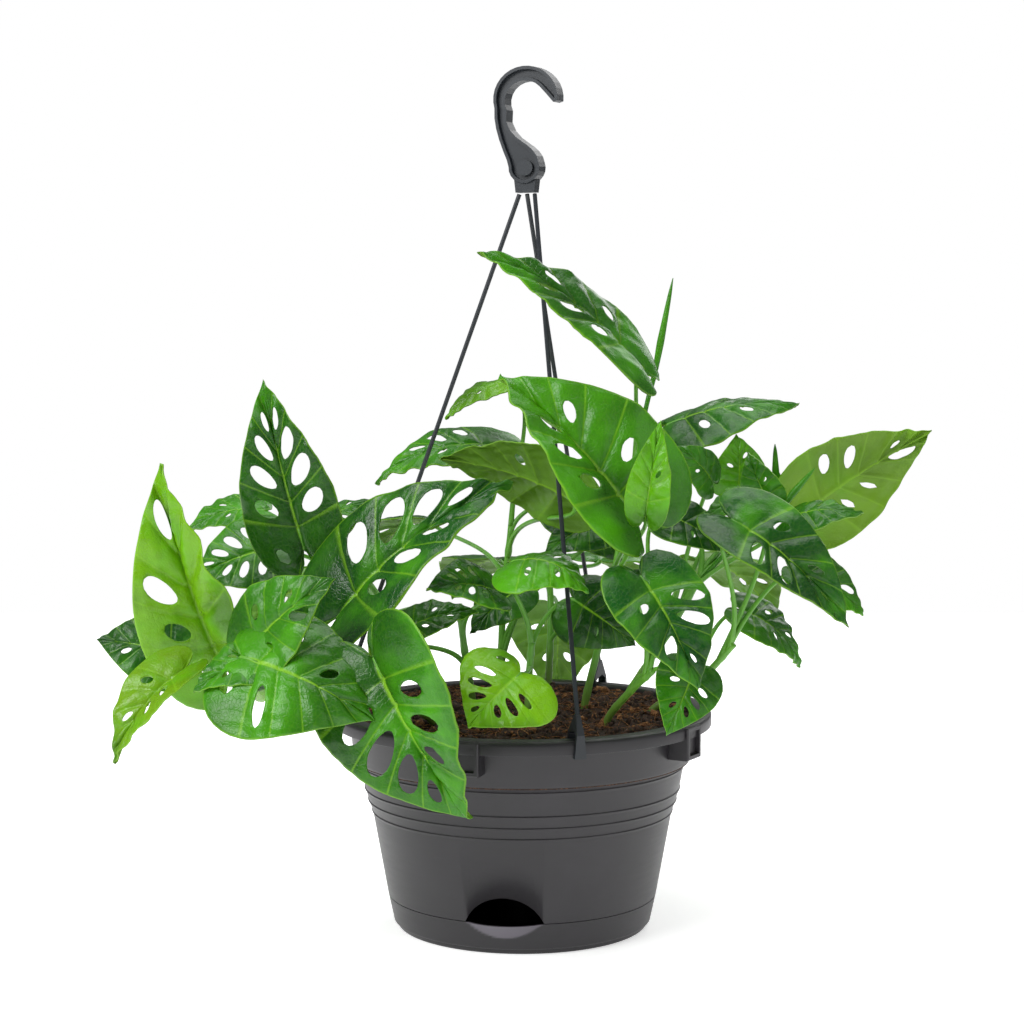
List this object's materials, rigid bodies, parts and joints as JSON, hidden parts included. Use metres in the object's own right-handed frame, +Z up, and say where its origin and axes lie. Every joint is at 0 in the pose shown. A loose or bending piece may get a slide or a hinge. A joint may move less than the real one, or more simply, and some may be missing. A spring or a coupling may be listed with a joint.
{
  "type": "potted monstera adansonii",
  "caption": "Bushy Swiss cheese vine with pierced heart-shaped leaves, growing in soil in a round hanging pot with a ribbed wall, a clip-on filling saucer, a hook and straight strands.",
  "frame": {"origin": "middle of the flat underside of the saucer, on the pot's axis", "axes": "+Z up along the pot's axis, -Y towards the viewer of the front, +X to that viewer's right"},
  "size_m": [0.5968, 0.4048, 0.6085],
  "materials": {
    "pot_plastic": "charcoal, fine satin",
    "hanger_plastic": "black, satin",
    "soil": "damp dark peat with coir fibre",
    "foliage": "glossy green leaf"
  },
  "bodies": {
    "root": {"pot": "pot_plastic", "saucer": "pot_plastic", "soil": "soil", "hook": "hanger_plastic", "strand_left": "hanger_plastic", "strand_back": "hanger_plastic", "strand_front": "hanger_plastic", "vine_far_left": "foliage", "vine_front_left": "foliage", "vine_high_left": "foliage", "vine_centre_left": "foliage", "vine_centre": "foliage", "vine_top": "foliage", "vine_back_middle": "foliage", "vine_high_right": "foliage", "vine_front_right": "foliage", "vine_low_right": "foliage", "vine_back": "foliage"}
  },
  "joints": []
}
